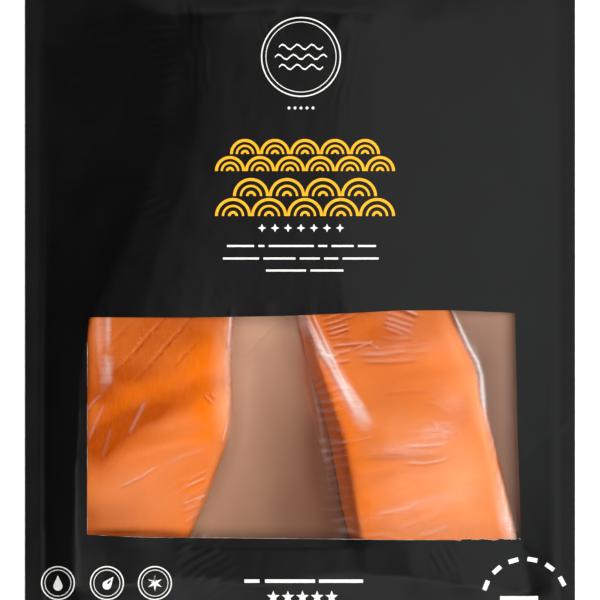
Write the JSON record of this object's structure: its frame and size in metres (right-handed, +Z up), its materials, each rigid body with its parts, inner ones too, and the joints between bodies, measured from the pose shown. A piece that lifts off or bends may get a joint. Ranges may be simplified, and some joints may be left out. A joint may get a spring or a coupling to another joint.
{
  "type": "salmon portion pack",
  "caption": "Flat vacuum pouch, printed dark with a clear window, shrunk tight over long skinless salmon portions that lie side by side.",
  "frame": {"origin": "middle of the pack's underside, which lies on the surface", "axes": "+Z up through the front with the window, +Y towards the top of the front's print, +X to the right of it"},
  "size_m": [0.205, 0.262, 0.0256],
  "materials": {
    "flesh": "moist raw salmon, orange with pale lines between the flakes",
    "printed_film": "satin black printed plastic film with white and gold shapes",
    "clear_film": "thin clear plastic film, creased and glossy",
    "back_film": "plastic film, tan inside and black outside"
  },
  "bodies": {
    "root": {"back_film": "back_film", "front_film": "printed_film", "window_film": "clear_film", "salmon_portion_left": "flesh", "salmon_portion_right": "flesh"}
  },
  "joints": []
}
